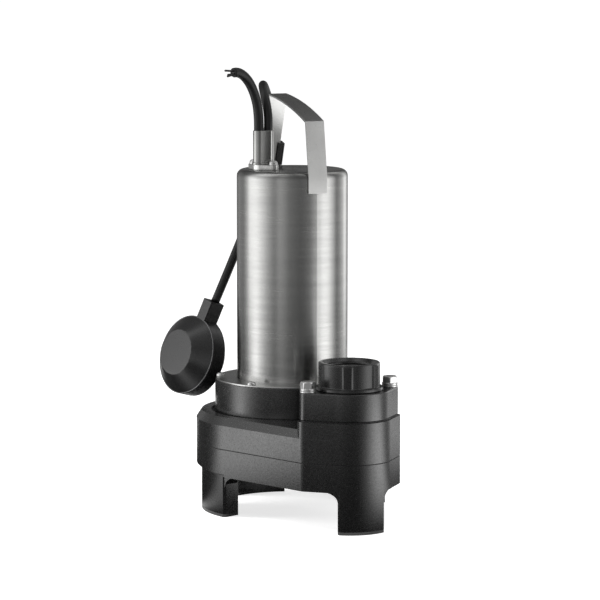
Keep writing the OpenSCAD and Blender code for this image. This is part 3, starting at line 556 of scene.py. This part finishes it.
# Radius between ribs, radius on a rib, and height, from the passage round the foot to the rim
STUB_ROWS = [(PASSAGE_R, PASSAGE_R, 126.9), (27, 27, 126.9), (27, 27, BLOCK_TOP),
             (33.6, 33.6, BLOCK_TOP),
             (34.3, 34.3, BLOCK_TOP + 0.7), (34.3, 34.3, BLOCK_TOP + 2.3),
             (33.9, 33.9, BLOCK_TOP + 3.2), (33, 33.4, BLOCK_TOP + 3.8),
             (31.4, 32.6, BLOCK_TOP + 4.1), (31, 32.2, BLOCK_TOP + 4.6),
             (31, 32.2, STUB_TOP - 2.4), (31, 31.7, STUB_TOP - 1.6),
             (30.7, 30.9, STUB_TOP - 0.7), (29.8, 29.9, STUB_TOP), (27.2, 27.2, STUB_TOP),
             (26.7, 26.7, STUB_TOP - 0.4)]
THREAD_PITCH = 2.309
THREAD_DEPTH = 1.4
THREAD_ROOT_R = 23.8
THREAD_LOW = STUB_TOP - 26
THREAD_HIGH = STUB_TOP - 3.2
RINGS_PER_TURN = 6
FADE_RINGS_TOP = 8
FADE_RINGS_LOW = 6


def add_stub():
    """The outlet: grip ribs outside, and inside its pipe thread of 11 turns to the inch."""
    middles = [30 + 360 / RIB_COUNT * k for k in range(RIB_COUNT)]
    angles = [math.radians(middle) + math.radians(v) for middle in middles for v in RIB_ANGLES]
    ribbed = RIB_SHARES * RIB_COUNT
    rings = [level_ring(DISCHARGE, h, angles, [r + (q - r) * rib for rib in ribbed])
             for r, q, h in STUB_ROWS]
    count = int((THREAD_HIGH - THREAD_LOW) / THREAD_PITCH * RINGS_PER_TURN)
    for k in range(count + 1):
        h = THREAD_HIGH - (THREAD_HIGH - THREAD_LOW) * k / count
        fade = min(1, k / FADE_RINGS_TOP, (count - k) / FADE_RINGS_LOW)
        phases = [(h / THREAD_PITCH + a / (2 * math.pi)) % 1 for a in angles]
        radii = [THREAD_ROOT_R - THREAD_DEPTH * fade * (1 - abs(2 * p - 1)) for p in phases]
        rings.append(level_ring(DISCHARGE, h, angles, radii))
    rings.append(level_ring(DISCHARGE, THREAD_LOW - 1.5, angles, [PASSAGE_R] * len(angles)))
    bm = bmesh.new()
    add_rings(bm, rings, closed=True)
    finish_piece("ribbed_stub", bm, "pump", plastic, "black_plastic", "discharge_stub")


FLOAT_AT = Vector((-102, -68.2, 149.4))
FLOAT_TURN = Euler([math.radians(v) for v in (-16, -15.2, -73.8)], "XYZ")
SEAM_R = 41.45
SEAM_X = 8.7
SEAM_HALF = 0.55


def add_float_seam():
    """The raised weld round the float, at the front edge of its band. It is the float's own
    plastic, painted paler as a highlight along the weld.
    """
    place = Matrix.Translation(FLOAT_AT) @ FLOAT_TURN.to_matrix().to_4x4()
    rings = []
    for a in turns(96):
        ring = []
        for t in turns(10):
            r = SEAM_R + SEAM_HALF * math.cos(t)
            point = Vector((SEAM_X + SEAM_HALF * math.sin(t), r * math.cos(a), r * math.sin(a)))
            ring.append(in_frame(place @ point))
        rings.append(ring)
    bm = bmesh.new()
    add_rings(bm, rings, closed=True)
    add_object("float_seam", mesh_of("float_seam", bm), "float", seam_painted_highlight)


CLIP_AT = (-34.7, 6.2, 428.3)
CLIP_LEAN = math.radians(17.24)
CLIP_ALONG = 66
LUG_CORNER = 1.4
LUG_LOW = (-3, 6.2)
LUG_HIGH = (6, 9.1)
# Height from the clip's middle, and how far the outline lies inside the full one there
LUG_ROWS = [(-12.4, 0.9), (-12.1, 0.3), (-11.5, 0), (11.5, 0), (12.1, 0.3), (12.4, 0.9)]


def add_clip_lug():
    """The side of the cable clip that stands past the edge of the handle's rear leg."""
    place = (Matrix.Translation(CLIP_AT) @ Matrix.Rotation(CLIP_LEAN, 4, "Y")
             @ Matrix.Scale(-1, 4, (1, 0, 0)) @ Matrix.Translation((0, 0, -CLIP_ALONG)))
    x0, y0 = (v + LUG_CORNER for v in LUG_LOW)
    x1, y1 = (v - LUG_CORNER for v in LUG_HIGH)
    rings = []
    for z, inset in LUG_ROWS:
        r = LUG_CORNER - inset
        ring = []
        for x, y, start in ((x1, y1, 0), (x0, y1, 90), (x0, y0, 180), (x1, y0, 270)):
            for a in (math.radians(start + t) for t in (0, 30, 60, 90)):
                point = Vector((x + r * math.cos(a), y + r * math.sin(a), z))
                ring.append(in_frame(place @ point))
        rings.append(ring)
    bm = bmesh.new()
    add_rings(bm, rings)
    finish_piece("clip_lug", bm, "pump", plastic, "black_plastic")


add_fasteners()
add_stub()
add_clip_lug()
add_float_seam()


# Floor, backdrop and light

FLOOR_SIZE = 30
FLOOR_DROP = 0.2 * MM
FLOOR_GLOW = 0.72
SKY_LEVEL = 0.35


def make_floor():
    """A pale floor that adds its own white for the camera, and keeps the shadow."""
    bm = bmesh.new()
    bmesh.ops.create_grid(bm, x_segments=1, y_segments=1, size=FLOOR_SIZE)
    floor = bpy.data.objects.new("floor", mesh_of("floor", bm, False))
    bpy.context.scene.collection.objects.link(floor)
    floor.location.z = -FLOOR_DROP
    material, nodes, links, shader = new_material("white_floor")
    shader.inputs["Base Color"].default_value = (0.8, 0.8, 0.8, 1)
    shader.inputs["Roughness"].default_value = 0.9
    white = nodes.new("ShaderNodeEmission")
    seen = ray_kinds(nodes, links, "Is Camera Ray", "Is Transmission Ray")
    links.new(math_node(nodes, links, "MULTIPLY", seen, FLOOR_GLOW), white.inputs["Strength"])
    add = nodes.new("ShaderNodeAddShader")
    links.new(shader.outputs[0], add.inputs[0])
    links.new(white.outputs[0], add.inputs[1])
    links.new(add.outputs[0], nodes["Material Output"].inputs["Surface"])
    floor.data.materials.append(material)


def make_world():
    """White where it is seen, and a plain soft light elsewhere."""
    world = bpy.data.worlds.new("studio")
    bpy.context.scene.world = world
    world.use_nodes = True
    nodes, links = world.node_tree.nodes, world.node_tree.links
    back = nodes["Background"]
    back.inputs["Color"].default_value = (1, 1, 1, 1)
    seen = ray_kinds(nodes, links, "Is Camera Ray", "Is Glossy Ray", "Is Transmission Ray")
    level = nodes.new("ShaderNodeMapRange")
    level.inputs["To Min"].default_value = SKY_LEVEL
    level.inputs["To Max"].default_value = 1.0
    links.new(seen, level.inputs["Value"])
    links.new(level.outputs[0], back.inputs["Strength"])


# Turn in degrees round the shaft, 0 on the camera's side, then, in metres, height above the
# floor, distance from the shaft and the lamp's own two sides, and its power in watts
LAMPS = {
    "left_box": (-92, 0.8, 1.6, 0.7, 1.4, 32),
    "right_box": (62, 0.7, 1.7, 0.35, 1.4, 14),
    "top_box": (0, 2.0, 0.9, 1.2, 1.2, 16),
}
LAMP_AIM = 0.22


def add_lamp(name, turn, height, distance, width, tall, power):
    """A soft light. The cards stand for it in reflections."""
    data = bpy.data.lights.new(name, "AREA")
    data.shape = "RECTANGLE"
    data.size = width
    data.size_y = tall
    data.energy = power
    lamp = bpy.data.objects.new(name, data)
    a = CAMERA_TURN + math.radians(turn)
    lamp.location = SHAFT + Vector((math.sin(a) * distance, -math.cos(a) * distance, height))
    aim = SHAFT + Vector((0, 0, LAMP_AIM))
    lamp.rotation_mode = "QUATERNION"
    lamp.rotation_quaternion = (aim - lamp.location).to_track_quat("-Z", "Y")
    lamp.visible_glossy = False
    bpy.context.scene.collection.objects.link(lamp)


# How bright the cards round the object are, by turn in degrees round the shaft, 0 on the
# camera's side: the wall, and the table before it
WALL_LEVELS = [(-150, 0.4), (-118, 0.42), (-105, 1.15), (-97, 2.6), (-82, 2.7), (-64, 1.95),
               (-47, 1.0), (-39, 0.66), (-34, 0.62), (-26, 1.0), (-16, 0.76), (-6, 0.46),
               (16, 0.28), (36, 0.36), (46, 0.6), (56, 1.7), (66, 2.5), (78, 2.4), (92, 1.3),
               (102, 0.36), (114, 0.66), (126, 1.1), (138, 2.0), (148, 1.1), (158, 0.2),
               (210, 0.2)]
TABLE_LEVELS = [(-150, 0.1), (-106, 0.03), (-97, 0.25), (-91, 1.5), (-85, 2.8), (-77, 3.2),
                (-68, 1.3), (-56, 0.2), (-36, 0.03), (24, 0.03), (38, 0.6), (52, 2.2), (62, 3.2),
                (76, 3.4), (86, 1.6), (96, 0.4), (110, 0.3), (122, 0.8), (134, 1.0)]
# Distance from the shaft, height, and share of the full light there
WALL_SECTION = [(1.15, 0.005, 0.35), (1.15, 0.04, 0.7), (1.15, 0.1, 1.0), (1.15, 0.2, 1.0),
                (1.15, 0.26, 1.15), (1.15, 0.32, 0.75), (1.15, 0.62, 0.6), (1.15, 0.9, 0.35),
                (1.15, 1.3, 0.55), (0.0, 1.6, 0.6)]
TABLE_SECTION = [(0.01, 0.003, 0.2), (0.22, 0.003, 0.25), (0.36, 0.003, 0.7),
                 (0.5, 0.003, 1.0), (0.8, 0.003, 1.0), (1.14, 0.004, 0.35)]
CARD_TOP = 3.4
CARD_STEPS = 92


def make_card(name, levels, section):
    """Soft light with dark card beside it, bent round the object, seen by reflections alone."""
    rows = len(section) - 1
    low_turn, high_turn = levels[0][0], levels[-1][0]
    bm = bmesh.new()
    columns = []
    for k in range(CARD_STEPS + 1):
        a = CAMERA_TURN + math.radians(low_turn + (high_turn - low_turn) * k / CARD_STEPS)
        columns.append([bm.verts.new(SHAFT + Vector((math.sin(a) * r, -math.cos(a) * r, z)))
                        for r, z, share in section])
    layer = bm.loops.layers.uv.new("turn")
    for k in range(CARD_STEPS):
        for j in range(rows):
            corners = ((k, j), (k + 1, j), (k + 1, j + 1), (k, j + 1))
            face = bm.faces.new([columns[i][m] for i, m in corners])
            for loop, (i, m) in zip(face.loops, corners):
                loop[layer].uv = (i / CARD_STEPS, m / rows)
    mesh = bpy.data.meshes.new(name)
    bm.to_mesh(mesh)
    bm.free()
    card = bpy.data.objects.new(name, mesh)
    bpy.context.scene.collection.objects.link(card)
    material, nodes, links, shader = new_material(name)
    nodes.remove(shader)
    split = nodes.new("ShaderNodeSeparateXYZ")
    links.new(nodes.new("ShaderNodeTexCoord").outputs["UV"], split.inputs[0])
    round_it = ramp(nodes, links, split.outputs["X"],
                    [((turn - low_turn) / (high_turn - low_turn), level / CARD_TOP)
                     for turn, level in levels])
    up_it = ramp(nodes, links, split.outputs["Y"],
                 [(m / rows, share) for m, (r, z, share) in enumerate(section)])
    both = nodes.new("ShaderNodeVectorMath")
    both.operation = "MULTIPLY"
    links.new(round_it, both.inputs[0])
    links.new(up_it, both.inputs[1])
    light = nodes.new("ShaderNodeEmission")
    light.inputs["Strength"].default_value = CARD_TOP
    links.new(both.outputs[0], light.inputs["Color"])
    links.new(light.outputs[0], nodes["Material Output"].inputs["Surface"])
    mesh.materials.append(material)
    card.visible_camera = False
    card.visible_diffuse = False
    card.visible_shadow = False


make_floor()
make_world()
make_card("wall_card", WALL_LEVELS, WALL_SECTION)
make_card("table_card", TABLE_LEVELS, TABLE_SECTION)
for name, values in LAMPS.items():
    add_lamp(name, *values)

bpy.context.scene.view_settings.view_transform = "Standard"
